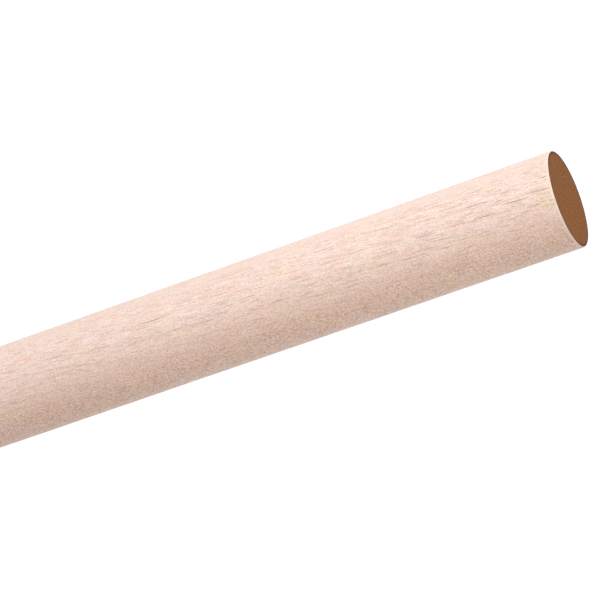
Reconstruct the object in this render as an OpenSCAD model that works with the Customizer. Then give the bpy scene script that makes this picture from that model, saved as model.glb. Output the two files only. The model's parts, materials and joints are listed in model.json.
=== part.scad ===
// Wooden dowel rod: one straight length of round hardwood, moulded to its diameter, cut square
// at both ends and lightly sanded round the cuts. The flat of the top end carries a brown coat.
// The rod stands on its plain foot end. The origin is the centre of that foot, +Z runs up the rod.

/* [Rod] */
// Diameter of the rod (31.75 is 1 1/4 inch)
rod_diameter = 31.75; // [6:0.05:50]
// Length of the rod from cut to cut (304.8 is 12 inch)
rod_length = 304.8; // [100:0.1:1220]

/* [Ends] */
// Radius of the sanded edge round the plain foot end
foot_edge = 0.4; // [0.1:0.05:1.5]
// Radius of the sanded edge round the coated top end
coated_edge = 0.4; // [0.1:0.05:1.5]

/* [Hidden] */
$fn = 96;
wood_colour = [0.94, 0.84, 0.78];
coat_colour = [0.55, 0.37, 0.25];
rod_radius = rod_diameter / 2;

// Half section of one end, from its cut at y = 0 to the top of its sanded edge
module end_section(edge) {
    square([rod_radius - edge, edge]);
    translate([rod_radius - edge, edge])
        circle(edge);
}

// Half section of the rod: the straight wall between its two ends
module rod_section() {
    end_section(foot_edge);
    translate([0, foot_edge])
        square([rod_radius, rod_length - foot_edge - coated_edge]);
    translate([0, rod_length])
        mirror([0, 1])
            end_section(coated_edge);
}

// Field of the top end inside its sanded edge, flush with the cut and as deep as that edge
module coated_field() {
    translate([0, 0, rod_length - coated_edge])
        cylinder(r = rod_radius - coated_edge, h = coated_edge);
}

// The rod is one solid: the coat on its end is colour and adds no piece
module dowel_rod() {
    color(wood_colour)
        difference() {
            rotate_extrude()
                rod_section();
            coated_field();
        }
    color(coat_colour)
        coated_field();
}

dowel_rod();
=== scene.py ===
import json
import math

import bpy
import numpy as np
from mathutils import Matrix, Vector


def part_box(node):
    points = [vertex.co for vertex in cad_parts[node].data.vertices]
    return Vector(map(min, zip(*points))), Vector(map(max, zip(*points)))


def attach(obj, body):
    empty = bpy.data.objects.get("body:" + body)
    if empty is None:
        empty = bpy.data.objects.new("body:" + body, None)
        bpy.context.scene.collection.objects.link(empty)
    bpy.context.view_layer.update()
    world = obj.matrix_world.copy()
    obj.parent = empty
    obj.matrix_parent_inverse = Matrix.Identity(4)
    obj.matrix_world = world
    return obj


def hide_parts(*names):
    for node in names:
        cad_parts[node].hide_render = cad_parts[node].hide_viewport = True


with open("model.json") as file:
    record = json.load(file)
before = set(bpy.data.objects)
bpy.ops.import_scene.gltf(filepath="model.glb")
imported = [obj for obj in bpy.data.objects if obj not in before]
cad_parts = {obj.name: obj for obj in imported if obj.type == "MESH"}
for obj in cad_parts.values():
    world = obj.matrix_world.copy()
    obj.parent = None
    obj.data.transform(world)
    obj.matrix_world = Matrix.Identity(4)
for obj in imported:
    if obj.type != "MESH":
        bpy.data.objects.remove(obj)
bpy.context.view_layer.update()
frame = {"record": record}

# Rod wall: one straight length of pale hardwood, moulded round, sanded and left bare.
# The grain leans a little off the rod's axis, so pores run long where it lies along the surface
# and short where it dives in. The wall is a net of rings and columns with the wide pores cut in.
MM = 0.001
rod_low, rod_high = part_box("dowel_rod")
rod_radius = min(rod_high.x - rod_low.x, rod_high.y - rod_low.y) / 2
rod_length = rod_high.z
shaft = next(mount for mount in frame["record"]["mounts"] if mount["name"] == "shaft")
edge_radius = (rod_length - shaft["dims"]["length_mm"] * MM) / 2

columns = 480
wall_rings = 130
column_angle = np.arange(columns) * math.tau / columns
wall_height = np.linspace(edge_radius, rod_length - edge_radius, wall_rings)

grain_lean = math.radians(4.0)
lean_toward = math.radians(-25.0)
pore_lines = 100
pore_band = math.radians(24)
pore_width = 0.13 * MM
pore_depth = 0.05 * MM
crowding_to_coat = 0.55
fewest_in_line, most_in_line = 1, 4
shortest_pore, longest_pore = 3.0, 11.0
faintest_pore, deepest_pore = 0.3, 1.0
closest_pores, widest_gap = 0.8, 1.5
draw = np.random.default_rng(11)

around, along = np.meshgrid(column_angle, wall_height)
open_pore = np.zeros_like(around)
for _ in range(pore_lines):
    angle = lean_toward + draw.choice((-1, 1)) * math.pi / 2 + draw.normal(0, pore_band)
    height = rod_length * draw.uniform(0, 1) ** crowding_to_coat
    across_grain = math.tan(grain_lean) * math.sin(lean_toward - angle)
    for _ in range(draw.integers(fewest_in_line, most_in_line + 1)):
        reach = draw.uniform(shortest_pore, longest_pore) * MM
        turned = (around - angle + math.pi) % math.tau - math.pi
        sideways = rod_radius * turned - across_grain * (along - height)
        lengthways = (along - height) / (reach / 2)
        groove = np.exp(-(sideways / pore_width) ** 2) * np.clip(1 - lengthways ** 2, 0, 1)
        open_pore = np.maximum(open_pore, draw.uniform(faintest_pore, deepest_pore) * groove)
        step = reach * draw.uniform(closest_pores, widest_gap)
        height += step
        angle += across_grain * step / rod_radius
wall_radius = rod_radius - pore_depth * open_pore


# Cut ends: both ends are sawn square and the corners rubbed over with sandpaper by hand, so the
# rounding wanders a little in width. Each flat is a square net pressed to a circle, whose border
# has one point for each column of the wall.
edge_steps = 6
edge_wander = 0.12
foot_waves = (2, 3, 5, 9)
coated_waves = (2, 3, 7, 11)


def wander(angle, waves):
    """A smooth random wave round the rod, between -1 and 1."""
    total = sum(np.sin(wave * angle + draw.uniform(0, math.tau)) for wave in waves)
    return total / len(waves)


def rounded_edge(rounding):
    """Radius and distance from the cut for each ring of a sanded edge, from the flat to the wall."""
    turn = np.linspace(0, math.pi / 2, edge_steps + 1)[:, None]
    radius = rod_radius - rounding * (1 - np.sin(turn))
    return radius, rounding * (1 - np.cos(turn))


foot_rounding = edge_radius * (1 + edge_wander * wander(column_angle, foot_waves))
coated_rounding = edge_radius * (1 + edge_wander * wander(column_angle, coated_waves))
foot_radius, foot_rise = rounded_edge(foot_rounding)
coated_radius, coated_drop = rounded_edge(coated_rounding)

no_pore = np.zeros((edge_steps, columns))
wall_level = np.repeat(wall_height[:, None], columns, axis=1)
coated_level = rod_length - coated_drop[-2::-1]
ring_radius = np.concatenate([foot_radius[:-1], wall_radius, coated_radius[-2::-1]])
ring_height = np.concatenate([foot_rise[:-1], wall_level, coated_level])
ring_pore = np.concatenate([no_pore, open_pore, no_pore])
rings = len(ring_radius)
ring_points = np.stack(
    [ring_radius * np.cos(column_angle), ring_radius * np.sin(column_angle), ring_height], axis=-1
)

side = columns // 4
steps = np.linspace(-1, 1, side + 1)
net_x, net_y = np.meshgrid(steps, steps, indexing="ij")


def pressed_to_circle(x, y):
    """Share of the radius and angle at which a point of the square net comes to lie."""
    wide = np.abs(x) > np.abs(y)
    with np.errstate(divide="ignore", invalid="ignore"):
        angle = np.where(wide, math.pi / 4 * y / x, math.pi / 2 - math.pi / 4 * x / y)
    share = np.where(wide, x, y)
    angle = np.where(share == 0, 0, angle)
    return np.abs(share), angle + np.where(share < 0, math.pi, 0)


net_share, net_angle = pressed_to_circle(net_x, net_y)
net_column = np.rint(net_angle / math.tau * columns).astype(int) % columns

saw_mark_depth = 0.012 * MM
saw_mark_pitch = 1.1 * MM
saw_radius = 125 * MM
saw_unevenness = 2.0
saw_uneven_pitch = 7 * saw_mark_pitch
marks_left_by_coat = 0.4
flat_at_border = 24


def flat_points(flat_radius, height, relief):
    """Points of the net over a cut end, with saw marks that die out at the end ring of the wall."""
    border = np.interp(net_angle % math.tau, column_angle, flat_radius, period=math.tau)
    net_radius = border * net_share
    x = net_radius * np.cos(net_angle)
    y = net_radius * np.sin(net_angle)
    saw_arc = np.hypot(x, y - saw_radius)
    swing = saw_unevenness * np.sin(saw_arc / saw_uneven_pitch)
    mark = 0.5 + 0.5 * np.sin(math.tau * saw_arc / saw_mark_pitch + swing)
    return np.stack([x, y, height + relief * mark * (1 - net_share ** flat_at_border)], axis=-1)


foot_points = flat_points(foot_radius[0], 0.0, saw_mark_depth)
coated_points = flat_points(coated_radius[0], rod_length, -marks_left_by_coat * saw_mark_depth)
inner = np.zeros(net_share.shape, bool)
inner[1:-1, 1:-1] = True
inner_count = int(inner.sum())

foot_start = rings * columns
coated_start = foot_start + inner_count
foot_index = np.where(inner, 0, net_column)
foot_index[inner] = foot_start + np.arange(inner_count)
coated_index = np.where(inner, 0, (rings - 1) * columns + net_column)
coated_index[inner] = coated_start + np.arange(inner_count)


def net_corners(values):
    """The four corners of every cell of a net, turning left as seen from above it."""
    return np.stack([values[:-1, :-1], values[1:, :-1], values[1:, 1:], values[:-1, 1:]], axis=2)


ring_index = np.arange(rings * columns).reshape(rings, columns)
next_column = np.roll(ring_index, -1, axis=1)
wall_faces = np.stack(
    [ring_index[:-1], next_column[:-1], next_column[1:], ring_index[1:]], axis=2
).reshape(-1, 4)
foot_faces = net_corners(foot_index).reshape(-1, 4)[:, ::-1]
coated_faces = net_corners(coated_index).reshape(-1, 4)

points = np.concatenate([ring_points.reshape(-1, 3), foot_points[inner], coated_points[inner]])
faces = np.concatenate([wall_faces, foot_faces, coated_faces])
rod_mesh = bpy.data.meshes.new("dowel_rod_wood")
rod_mesh.from_pydata(points.tolist(), [], faces.tolist())
rod_mesh.polygons.foreach_set("use_smooth", np.ones(len(faces), bool))

pore_layer = rod_mesh.attributes.new("open_pore", "FLOAT", "POINT")
pore_value = np.concatenate([ring_pore.ravel(), np.zeros(2 * inner_count)])
pore_layer.data.foreach_set("value", pore_value.astype(np.float32))


# Bare wood: the rod's own pale hardwood, cream towards the heart of the tree, and darker with more of
# a blush towards the bark, which is painted shade for the side turned from the key light. Dark pores
# in pale sheaths, fibres, fine flecks and growth rings run through it as solid grain, so that they
# cross from the wall into the cut ends as they do in a real stick.
def paint(red, green, blue):
    """A colour as it looks, 0 to 255 a channel, in the linear values that shaders take."""
    shown = [channel / 255 for channel in (red, green, blue)]
    linear = [c / 12.92 if c <= 0.04045 else ((c + 0.055) / 1.055) ** 2.4 for c in shown]
    return (*linear, 1.0)


def add(tree, kind, inputs, **options):
    """Adds a node: its options are set, and each named or numbered input gets its value or link."""
    made = tree.nodes.new("ShaderNode" + kind)
    for option, choice in options.items():
        setattr(made, option, choice)
    for name, value in inputs.items():
        if isinstance(value, bpy.types.NodeSocket):
            tree.links.new(value, made.inputs[name])
        else:
            made.inputs[name].default_value = value
    return made


def maths(tree, operation, first, second=0.0, third=0.0):
    """A sum worked out on numbers, point by point."""
    return add(tree, "Math", {0: first, 1: second, 2: third}, operation=operation).outputs[0]


def vectors(tree, operation, first, second, third=(0.0, 0.0, 0.0)):
    """A sum worked out on places or colours, each of its three parts by itself."""
    inputs = {0: first, 1: second, 2: third}
    return add(tree, "VectorMath", inputs, operation=operation).outputs[0]


def measured(tree, operation, first, second=(0.0, 0.0, 0.0)):
    """One number worked out from places, such as a length."""
    return add(tree, "VectorMath", {0: first, 1: second}, operation=operation).outputs["Value"]


def stretched(tree, place, cell):
    """Places counted in cells of this size, each way in mm."""
    return vectors(tree, "MULTIPLY", place, tuple(1 / length for length in cell))


def speckle(tree, place, cell, detail=1.0, roughness=0.5):
    """Soft random variation from 0 to 1, in blobs about a cell in size."""
    inputs = {"Vector": stretched(tree, place, cell), "Scale": 1.0}
    inputs.update({"Detail": detail, "Roughness": roughness})
    return add(tree, "TexNoise", inputs).outputs["Fac"]


def between(tree, value, span):
    """A soft step from 0 to 1, as a value goes from the first end of the span to the second."""
    inputs = {"Value": value, "From Min": span[0], "From Max": span[1]}
    return add(tree, "MapRange", inputs, interpolation_type="SMOOTHSTEP").outputs[0]


def toned(tree, share, first, second):
    """The first colour, turning to the second as the share goes to 1."""
    return add(tree, "Mix", {0: share, 6: first, 7: second}, data_type="RGBA").outputs[2]


def centred(tree, value, weight):
    """A value from 0 to 1, moved to lie about 0 and weighted."""
    return maths(tree, "MULTIPLY", maths(tree, "SUBTRACT", value, 0.5), weight)


def new_finish(name):
    """An empty material and the tree that its nodes go in."""
    material = bpy.data.materials.new(name)
    material.use_nodes = True
    material.node_tree.nodes.clear()
    return material, material.node_tree


refraction = 1.5
wood_sheen = 0.5


def surface(tree, colour, roughness, relief, depth, sheen=wood_sheen):
    """Ends a finish with its surface, whose fine relief is this deep."""
    bump = add(tree, "Bump", {"Strength": 1.0, "Distance": depth, "Height": relief}).outputs[0]
    inputs = {"Base Color": colour, "Roughness": roughness, "Normal": bump}
    inputs.update({"IOR": refraction, "Specular IOR Level": sheen})
    shader = add(tree, "BsdfPrincipled", inputs).outputs[0]
    add(tree, "OutputMaterial", {"Surface": shader})


heart_distance = 62.0
bark_way = (math.cos(lean_toward), math.sin(lean_toward), 0.0)
drift_cell = (9.0, 9.0, 26.0)
fibre_drift = (0.25, 0.25, 0.0)


def place_in_tree(tree, here):
    """Place in mm: x from the heart outwards, y along the growth rings and z up the leaning grain."""
    inputs = {
        "Vector": here,
        "Location": tuple(-heart_distance * MM * part for part in bark_way),
        "Rotation": (0.0, grain_lean, lean_toward),
        "Scale": (MM, MM, MM),
    }
    straight = add(tree, "Mapping", inputs, vector_type="TEXTURE").outputs[0]
    inputs = {"Vector": stretched(tree, straight, drift_cell), "Scale": 1.0, "Detail": 1.0}
    drift = add(tree, "TexNoise", inputs).outputs["Color"]
    level = vectors(tree, "SUBTRACT", drift, (0.5, 0.5, 0.5))
    return vectors(tree, "ADD", straight, vectors(tree, "MULTIPLY", level, fibre_drift))


def towards_bark(tree, here):
    """How far a place lies towards the bark, from -1 on one side of the rod to 1 on the other."""
    return measured(tree, "DOT_PRODUCT", here, tuple(part / rod_radius for part in bark_way))


far_side_span = (-0.15 * rod_radius / MM, 0.45 * rod_radius / MM)
heart_side_span = (-0.80, -1.0)


def out_of_sight(tree, place, barkward):
    """1 on the far side of the rod, where the growth rings show most, and along the heart's side."""
    round_rings = add(tree, "SeparateXYZ", {0: place}).outputs[1]
    far_side = between(tree, round_rings, far_side_span)
    return maths(tree, "MAXIMUM", far_side, between(tree, barkward, heart_side_span))


bark_dive_span = (0.85, 0.45)
heart_dive_span = (-0.85, -0.30)
heart_pore_span = (-0.2, -0.7)
heart_pores_left = 0.45


def flat_grain(tree, barkward, far_side):
    """1 where the grain lies along the surface, and less where it dives in towards bark and heart."""
    off_bark = between(tree, barkward, bark_dive_span)
    off_heart = between(tree, barkward, heart_dive_span)
    lies_flat = maths(tree, "MULTIPLY", off_bark, off_heart)
    heartward = maths(tree, "MULTIPLY", between(tree, barkward, heart_pore_span), heart_pores_left)
    return maths(tree, "MAXIMUM", maths(tree, "MAXIMUM", lies_flat, heartward), far_side)


cream = paint(239, 212, 199)
# Painted shade: the darker, pinker colour of the side turned from the key light.
painted_shade_blush = paint(239, 201, 180)
rosy = paint(240, 203, 188)
no_tint = (1.0, 1.0, 1.0, 1.0)
straw_tint = (1.015, 1.010, 0.920, 1.0)
# Painted light: the wall is darkened at the foot and lightened at the coated end, as a lamp near the
# top would light it.
painted_shade_at_foot = (0.925, 0.925, 0.925, 1.0)
painted_light_at_coat = (1.045, 1.058, 1.058, 1.0)
painted_shade_cell = (3.5, 3.5, 9.0)
painted_shade_wander = 0.8
painted_shade_span = (0.0, 1.15)
straw_cell = (4.5, 4.5, 8.0)
straw_span = (0.48, 0.80)
rosy_cell = (3.0, 3.0, 8.0)
rosy_span = (0.48, 0.80)
# Painted light: the stretch over which the wall goes from its darker foot to its lighter coated end.
painted_light_span = (rod_length - 215 * MM, rod_length - 35 * MM)


def ground_colour(tree, place, height, barkward):
    """The broad colour of the wood: painted shade as a darker blush towards the bark, soft straw and
    rosy patches, and painted light that makes it paler towards the coated end.
    """
    patches = centred(tree, speckle(tree, place, painted_shade_cell), painted_shade_wander)
    # Painted shade: the blush covers the side turned from the key light, with a ragged border.
    painted_shade_share = between(tree, maths(tree, "ADD", barkward, patches), painted_shade_span)
    colour = toned(tree, painted_shade_share, cream, painted_shade_blush)
    straw_share = between(tree, speckle(tree, place, straw_cell), straw_span)
    colour = vectors(tree, "MULTIPLY", colour, toned(tree, straw_share, no_tint, straw_tint))
    rosy_share = between(tree, speckle(tree, place, rosy_cell), rosy_span)
    colour = toned(tree, rosy_share, colour, rosy)
    # Painted light: darker towards the foot and paler towards the coated end.
    tone = toned(tree, between(tree, height, painted_light_span), painted_shade_at_foot, painted_light_at_coat)
    return vectors(tree, "MULTIPLY", colour, tone)


ring_spacing = 1.7


def growth_rings(tree, place):
    """Slow and quick growth by turns, 0 to 1, in bands round the heart."""
    from_heart = measured(tree, "LENGTH", vectors(tree, "MULTIPLY", place, (1.0, 1.0, 0.0)))
    rings_out = maths(tree, "DIVIDE", from_heart, ring_spacing)
    inputs = {"W": rings_out, "Scale": 1.0, "Detail": 2.0}
    return add(tree, "TexNoise", inputs, noise_dimensions="1D").outputs["Fac"]


fleck_cell = (0.23, 0.23, 0.66)
fleck_weight = 1.1
fleck_roughness = 0.8
fleck_gain = 0.9
fleck_gain_span = (0.5, 1.15)
fleck_calm = -0.3
fleck_calm_span = (-0.25, -0.70)
fibre_cell = (0.40, 0.40, 6.0)
fibre_weight = 0.27
hair_cell = (0.11, 0.11, 3.2)
hair_weight = 0.30
mottle_cell = (0.6, 0.6, 1.5)
mottle_weight = 0.30
mottle_span = (0.65, 1.0)
streak_cell = (0.65, 0.65, 18.0)
streak_weight = 0.24
streak_span = (0.2, 0.7)
ring_weight = 0.08
far_ring_weight = 0.26


def grain_texture(tree, place, barkward, lies_flat, far_side):
    """The fine light and dark of the grain, about 0: flecks that are coarse towards the bark and calm
    towards the heart, fibres where the grain lies flat, hair-fine fibres all over, mottle and streaks
    towards the bark, and rings."""
    fleck = speckle(tree, place, fleck_cell, roughness=fleck_roughness)
    coarser = between(tree, barkward, fleck_gain_span)
    coarseness = maths(tree, "MULTIPLY_ADD", coarser, fleck_gain, 1.0)
    calmer = between(tree, barkward, fleck_calm_span)
    coarseness = maths(tree, "MULTIPLY_ADD", calmer, fleck_calm, coarseness)
    texture = maths(tree, "MULTIPLY", centred(tree, fleck, fleck_weight), coarseness)

    fibre = centred(tree, speckle(tree, place, fibre_cell, detail=0.0), fibre_weight)
    fibre = maths(tree, "MULTIPLY", fibre, lies_flat)
    hair = centred(tree, speckle(tree, place, hair_cell), hair_weight)
    mottle = centred(tree, speckle(tree, place, mottle_cell), mottle_weight)
    mottle = maths(tree, "MULTIPLY", mottle, between(tree, barkward, mottle_span))
    streak = centred(tree, speckle(tree, place, streak_cell), streak_weight)
    streak = maths(tree, "MULTIPLY", streak, between(tree, barkward, streak_span))
    rings_seen = maths(tree, "MULTIPLY_ADD", far_side, far_ring_weight, ring_weight)
    ring = centred(tree, growth_rings(tree, place), rings_seen)
    for layer in (fibre, hair, mottle, streak, ring):
        texture = maths(tree, "ADD", texture, layer)
    return texture


darkness_span = (0.2, 1.0)
pore_soft_edge = (1.0, 0.7)
sheath_soft_edge = (2.4, 1.4)


def pores_cut_along(tree, place, cell):
    """Pores, one to a cell: the distance from the middle of the nearest, and how dark that one is."""
    inputs = {"Vector": stretched(tree, place, cell), "Scale": 1.0}
    vessel = add(tree, "TexVoronoi", inputs).outputs
    chance = add(tree, "SeparateColor", {0: vessel["Color"]}).outputs[0]
    return vessel["Distance"], between(tree, chance, darkness_span)


def spindle(tree, vessel, width, soft_edge):
    """A thin spindle along each pore, whose edge runs softly between two shares of its width."""
    distance, darkness = vessel
    span = tuple(share * width for share in soft_edge)
    return maths(tree, "MULTIPLY", between(tree, distance, span), darkness)


short_cell = (0.24, 0.24, 9.0)
short_width = 0.30
short_share = 0.6
long_cell = (0.42, 0.42, 26.0)
long_width = 0.22
cluster_cell = (5.0, 5.0, 18.0)
cluster_span = (0.10, 0.45)
nick_cell = (0.38, 0.38, 6.0)
nick_width = 0.30
nick_span = (rod_length - 60 * MM, rod_length - 15 * MM)
nick_off_bark_span = (0.75, 0.15)
nick_off_heart_span = (-0.60, -0.25)
mouth_cell = (0.36, 0.36, 2.2)
mouth_width = 0.36
mouth_share = 0.55
bark_mouth_span = (0.60, 1.0)
heart_mouth_span = (-0.55, -0.95)
heart_mouth_share = 0.5


def fine_pores(tree, place, height, barkward, lies_flat):
    """Pores too fine to be cut into the wall, and the sheaths round them, both 0 to 1."""
    short = pores_cut_along(tree, place, short_cell)
    long = pores_cut_along(tree, place, long_cell)
    cluster = between(tree, speckle(tree, place, cluster_cell), cluster_span)
    shown = maths(tree, "MULTIPLY", cluster, lies_flat)
    short_pore = spindle(tree, short, short_width, pore_soft_edge)
    long_pore = spindle(tree, long, long_width, pore_soft_edge)
    pore = maths(tree, "MAXIMUM", maths(tree, "MULTIPLY", short_pore, short_share), long_pore)
    pore = maths(tree, "MULTIPLY", pore, shown)
    short_sheath = spindle(tree, short, short_width, sheath_soft_edge)
    long_sheath = spindle(tree, long, long_width, sheath_soft_edge)
    sheath = maths(tree, "MULTIPLY", maths(tree, "MAXIMUM", short_sheath, long_sheath), shown)

    nicks = pores_cut_along(tree, place, nick_cell)
    nick = maths(tree, "MULTIPLY", spindle(tree, nicks, nick_width, pore_soft_edge), lies_flat)
    nick = maths(tree, "MULTIPLY", nick, between(tree, height, nick_span))
    nick = maths(tree, "MULTIPLY", nick, between(tree, barkward, nick_off_bark_span))
    nick = maths(tree, "MULTIPLY", nick, between(tree, barkward, nick_off_heart_span))

    mouths = pores_cut_along(tree, place, mouth_cell)
    to_bark = between(tree, barkward, bark_mouth_span)
    to_heart = maths(tree, "MULTIPLY", between(tree, barkward, heart_mouth_span), heart_mouth_share)
    dives = maths(tree, "MAXIMUM", to_bark, to_heart)
    mouth = maths(tree, "MULTIPLY", spindle(tree, mouths, mouth_width, pore_soft_edge), dives)
    mouth = maths(tree, "MULTIPLY", mouth, mouth_share)
    return maths(tree, "MAXIMUM", pore, maths(tree, "MAXIMUM", nick, mouth)), sheath


grain_tint = (0.84, 1.17, 1.5)
sheath_pale = paint(252, 238, 226)
sheath_share = 0.30
pore_brown = paint(150, 78, 44)
ragged_cell = (0.3, 0.3, 1.5)
ragged_span = (0.25, 0.50)
wide_pore_share = 0.65
edge_pale = paint(252, 230, 208)
rubbed_span = (rod_length / 2 - 1.0 * MM, rod_length / 2 - 0.3 * MM)
rubbed_share = 0.55
wood_roughness = 0.42
light_grain_polish = -0.2
pore_dullness = 0.3
wood_relief = 0.035 * MM
pore_sink = 0.6


def bare_wood():
    """The wall: ground colour, grain, pores, and the pale edge where the sandpaper rubbed."""
    material, tree = new_finish("bare_wood")
    here = add(tree, "TexCoord", {}).outputs["Object"]
    height = add(tree, "SeparateXYZ", {0: here}).outputs[2]
    place = place_in_tree(tree, here)
    barkward = towards_bark(tree, here)
    far_side = out_of_sight(tree, place, barkward)
    lies_flat = flat_grain(tree, barkward, far_side)

    colour = ground_colour(tree, place, height, barkward)
    texture = grain_texture(tree, place, barkward, lies_flat, far_side)
    tinted = vectors(tree, "MULTIPLY", colour, grain_tint)
    colour = vectors(tree, "MULTIPLY_ADD", tinted, texture, colour)

    pore, sheath = fine_pores(tree, place, height, barkward, lies_flat)
    wide_pore = add(tree, "Attribute", {}, attribute_name="open_pore").outputs["Fac"]
    ragged = between(tree, speckle(tree, place, ragged_cell, detail=0.0), ragged_span)
    ragged = maths(tree, "MULTIPLY", ragged, wide_pore_share)
    pore = maths(tree, "MAXIMUM", pore, maths(tree, "MULTIPLY", wide_pore, ragged))
    colour = toned(tree, maths(tree, "MULTIPLY", sheath, sheath_share), colour, sheath_pale)
    colour = toned(tree, pore, colour, pore_brown)

    from_middle = maths(tree, "ABSOLUTE", maths(tree, "SUBTRACT", height, rod_length / 2))
    rubbed = between(tree, from_middle, rubbed_span)
    colour = toned(tree, maths(tree, "MULTIPLY", rubbed, rubbed_share), colour, edge_pale)

    relief = maths(tree, "SUBTRACT", texture, maths(tree, "MULTIPLY", pore, pore_sink))
    roughness = maths(tree, "MULTIPLY_ADD", texture, light_grain_polish, wood_roughness)
    roughness = maths(tree, "MULTIPLY_ADD", pore, pore_dullness, roughness)
    surface(tree, colour, roughness, relief, wood_relief)
    return material


# Sawn foot: the end grain at the plain end, sawn square and left bare. It is darker than the wall,
# because its open pores drink the light, and the growth rings cross it as soft bands.
sawn_pale = paint(214, 186, 166)
sawn_dark = paint(204, 171, 148)
sawn_pore = paint(134, 98, 78)
sawn_pore_share = 0.7
sawn_roughness = 0.76
sawn_pore_dullness = 0.2
sawn_relief = 0.04 * MM
slow_growth_span = (0.30, 0.75)
pore_mouth_cell = (0.55, 0.55, 14.0)
pore_mouth_span = (0.34, 0.14)


def pore_mouths(tree, place):
    """The open pores of a cut end, 0 to 1, as small round dots."""
    inputs = {"Vector": stretched(tree, place, pore_mouth_cell), "Scale": 1.0}
    distance = add(tree, "TexVoronoi", inputs).outputs["Distance"]
    return between(tree, distance, pore_mouth_span)


def sawn_foot():
    """The foot: growth rings in two tones, with dark dots where the pores open."""
    material, tree = new_finish("sawn_end_grain")
    here = add(tree, "TexCoord", {}).outputs["Object"]
    place = place_in_tree(tree, here)
    slow_growth = between(tree, growth_rings(tree, place), slow_growth_span)
    colour = toned(tree, slow_growth, sawn_pale, sawn_dark)
    pore = pore_mouths(tree, place)
    colour = toned(tree, maths(tree, "MULTIPLY", pore, sawn_pore_share), colour, sawn_pore)
    roughness = maths(tree, "MULTIPLY_ADD", pore, sawn_pore_dullness, sawn_roughness)
    surface(tree, colour, roughness, maths(tree, "SUBTRACT", 1.0, pore), sawn_relief)
    return material


# End coat: a matt brown paint brushed over the sawn grain of the top end. It soaks in, so the pores
# still show, dries darker at the rim, and laps one step over the sanded edge, whose rest stays bare.
coat_brown = paint(123, 75, 38)
coat_light = paint(157, 104, 61)
coat_pore = paint(88, 50, 24)
coat_pore_share = 0.5
coat_rim = paint(82, 64, 52)
coat_rim_width = 1.1
coat_rim_wander = 0.5
coat_lap = 1
cloud_cell = (0.8, 0.8, 0.8)
cloud_detail = 4.0
cloud_roughness = 0.75
cloud_span = (0.36, 0.64)
brush_cell = (0.5, 0.5, 0.5)
coat_roughness = 0.9
light_cloud_polish = -0.2
coat_relief = 0.02 * MM
coat_sheen = 0.1


def end_coat():
    """The coat: clouded brown with the pores showing through, and a ragged dark rim."""
    material, tree = new_finish("brown_end_coat")
    here = add(tree, "TexCoord", {}).outputs["Object"]
    flat = vectors(tree, "MULTIPLY", here, (1 / MM, 1 / MM, 0.0))
    cloud = speckle(tree, flat, cloud_cell, cloud_detail, cloud_roughness)
    colour = toned(tree, between(tree, cloud, cloud_span), coat_brown, coat_light)
    pore = pore_mouths(tree, place_in_tree(tree, here))
    colour = toned(tree, maths(tree, "MULTIPLY", pore, coat_pore_share), colour, coat_pore)

    ragged = centred(tree, speckle(tree, flat, cloud_cell, detail=2.0), coat_rim_wander)
    from_axis = maths(tree, "ADD", measured(tree, "LENGTH", flat), ragged)
    border = (rod_radius - edge_radius) / MM
    rim = between(tree, from_axis, (border - coat_rim_width, border))
    colour = toned(tree, rim, colour, coat_rim)

    relief = maths(tree, "SUBTRACT", speckle(tree, flat, brush_cell, detail=2.0), pore)
    roughness = maths(tree, "MULTIPLY_ADD", cloud, light_cloud_polish, coat_roughness)
    surface(tree, colour, roughness, relief, coat_relief, coat_sheen)
    return material


# Finished rod: the coat lies on the top flat and the end grain on the foot, and the rest is bare wood.
# All of it is laid out on the square that colours are kept on: the wall as two half lengths side by
# side, unrolled, and the ends as two discs beyond them.
BARE, COATED, SAWN = range(3)
for finish in (bare_wood(), end_coat(), sawn_foot()):
    rod_mesh.materials.append(finish)
face_finish = np.full(len(faces), BARE)
face_finish[(rings - 1 - coat_lap) * columns:len(wall_faces)] = COATED
face_finish[len(wall_faces):] = SAWN
face_finish[len(wall_faces) + len(foot_faces):] = COATED
rod_mesh.polygons.foreach_set("material_index", face_finish.astype(np.int32))

gap = 1.0 * MM
girth = math.tau * rod_radius
sheet = 2 * girth + 3 * gap
edge_climb = edge_radius * math.pi / 2
wall_climb = wall_height - edge_radius + edge_climb
foot_climb = np.linspace(0, edge_climb, edge_steps, endpoint=False)
coated_climb = wall_climb[-1] + edge_climb * np.arange(1, edge_steps + 1) / edge_steps
climb = np.concatenate([foot_climb, wall_climb, coated_climb])

half = rings // 2
face_ring, face_column = np.divmod(np.arange(len(wall_faces)), columns)
upper = face_ring >= half
start_x = np.where(upper, 2 * gap + girth, gap)[:, None]
start_y = np.where(upper, climb[half], 0.0)[:, None]
corner_column = face_column[:, None] + np.array([0, 1, 1, 0])
corner_ring = face_ring[:, None] + np.array([0, 0, 1, 1])
wall_map = np.stack(
    [start_x + corner_column / columns * girth, gap + climb[corner_ring] - start_y], axis=-1
)
disc_y = sheet - gap - rod_radius
foot_disc = foot_points[..., :2] + (gap + rod_radius, disc_y)
coated_disc = coated_points[..., :2] + (2 * gap + 3 * rod_radius, disc_y)
foot_map = net_corners(foot_disc).reshape(-1, 4, 2)[:, ::-1]
coated_map = net_corners(coated_disc).reshape(-1, 4, 2)
bake_map = rod_mesh.uv_layers.new(name="OFBake")
corners = np.concatenate([wall_map, foot_map, coated_map]).reshape(-1) / sheet
bake_map.data.foreach_set("uv", corners.astype(np.float32))

rod_mesh.validate()
rod = bpy.data.objects.new("dowel_rod_visual", rod_mesh)
bpy.context.scene.collection.objects.link(rod)
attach(rod, "root")
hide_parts("dowel_rod")


# Floor: a plain white sheet that the rod stands on. It looks white in the picture and in reflections,
# and still takes the rod's soft shadow.
floor_reach = 8.0
floor_white = paint(238, 238, 238)
floor_lift = 0.34
white = (1.0, 1.0, 1.0, 1.0)


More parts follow.
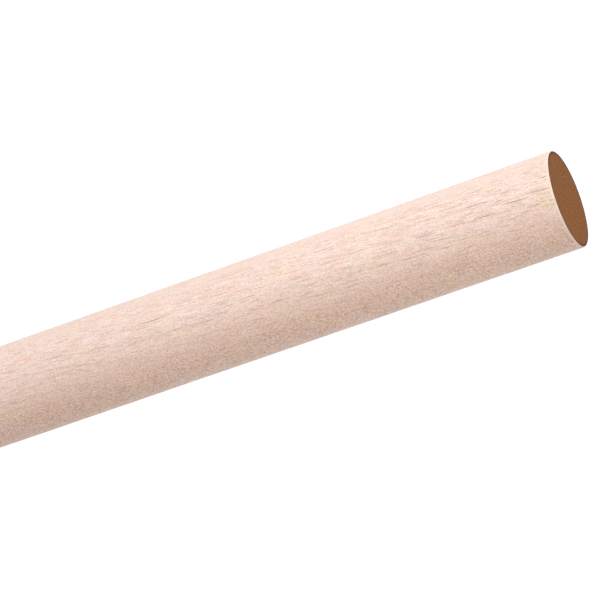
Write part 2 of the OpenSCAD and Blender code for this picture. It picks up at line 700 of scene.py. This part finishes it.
def background_rays(tree):
    """1 for rays that look at the background, straight, in a reflection or through glass."""
    path = add(tree, "LightPath", {}).outputs
    mirrored = maths(tree, "MAXIMUM", path["Is Glossy Ray"], path["Is Transmission Ray"])
    return maths(tree, "MAXIMUM", path["Is Camera Ray"], mirrored)


floor_corners = [
    (x * floor_reach, y * floor_reach, 0.0) for x, y in ((-1, -1), (1, -1), (1, 1), (-1, 1))
]
floor_mesh = bpy.data.meshes.new("floor")
floor_mesh.from_pydata(floor_corners, [], [(0, 1, 2, 3)])
floor_paint, floor_tree = new_finish("white_floor")
lit = add(floor_tree, "BsdfDiffuse", {"Color": floor_white}).outputs[0]
lift = maths(floor_tree, "MULTIPLY", background_rays(floor_tree), floor_lift)
glow = add(floor_tree, "Emission", {"Color": white, "Strength": lift}).outputs[0]
both = add(floor_tree, "AddShader", {0: lit, 1: glow}).outputs[0]
add(floor_tree, "OutputMaterial", {"Surface": both})
floor_mesh.materials.append(floor_paint)
floor = bpy.data.objects.new("floor", floor_mesh)
bpy.context.scene.collection.objects.link(floor)


# Light: a white room for fill, a little brighter towards the front, and one broad soft key from the
# left of the rod's front and above it. A weak low light from behind keeps the far side from going
# dull, and gives no gloss.
room_fill = 0.475
room_front = (-0.12, -0.30, 0.0)
key_strength = 1.77
key_spread = math.radians(60)
key_from = math.radians(55)
key_height = math.radians(38)
back_strength = 0.7
back_spread = math.radians(40)
back_from = math.radians(180)
back_height = math.radians(15)

room = bpy.data.worlds.new("white_room")
room.use_nodes = True
bpy.context.scene.world = room
room_tree = room.node_tree
room_tree.nodes.clear()
toward = add(room_tree, "TexCoord", {}).outputs["Generated"]
frontward = measured(room_tree, "DOT_PRODUCT", toward, room_front)
fill = maths(room_tree, "MULTIPLY_ADD", frontward, room_fill, room_fill)
brightness = maths(room_tree, "MAXIMUM", background_rays(room_tree), fill)
room_light = add(room_tree, "Background", {"Color": white, "Strength": brightness}).outputs[0]
add(room_tree, "OutputWorld", {"Surface": room_light})


def lamp(name, strength, spread, come_from, height):
    """A far, round soft light: where it comes from is told as an angle to the left of the front."""
    data = bpy.data.lights.new(name, "SUN")
    data.energy = strength
    data.angle = spread
    made = bpy.data.objects.new(name, data)
    made.rotation_euler = (math.pi / 2 - height, 0.0, -come_from)
    bpy.context.scene.collection.objects.link(made)
    return made


lamp("key", key_strength, key_spread, key_from, key_height)
back = lamp("back", back_strength, back_spread, back_from, back_height)
back.visible_glossy = False


# Camera: a long lens about a metre in front of the rod and above it, rolled so that the coated end
# lies at the upper right and the foot runs out of the picture at the left.
camera_lens = 200.0
camera_back = 63.506 * rod_radius
camera_aside = 0.144 * rod_radius
camera_above = 15.734 * rod_radius
camera_down = math.radians(18.83)
camera_roll = math.radians(70.8)

camera_data = bpy.data.cameras.new("camera")
camera_data.lens = camera_lens
camera = bpy.data.objects.new("camera", camera_data)
camera.matrix_world = (
    Matrix.Translation((camera_aside, -camera_back, rod_length + camera_above))
    @ Matrix.Rotation(math.pi / 2 - camera_down, 4, "X")
    @ Matrix.Rotation(camera_roll, 4, "Z")
)
bpy.context.scene.collection.objects.link(camera)
bpy.context.scene.camera = camera
bpy.context.scene.view_settings.view_transform = "Standard"
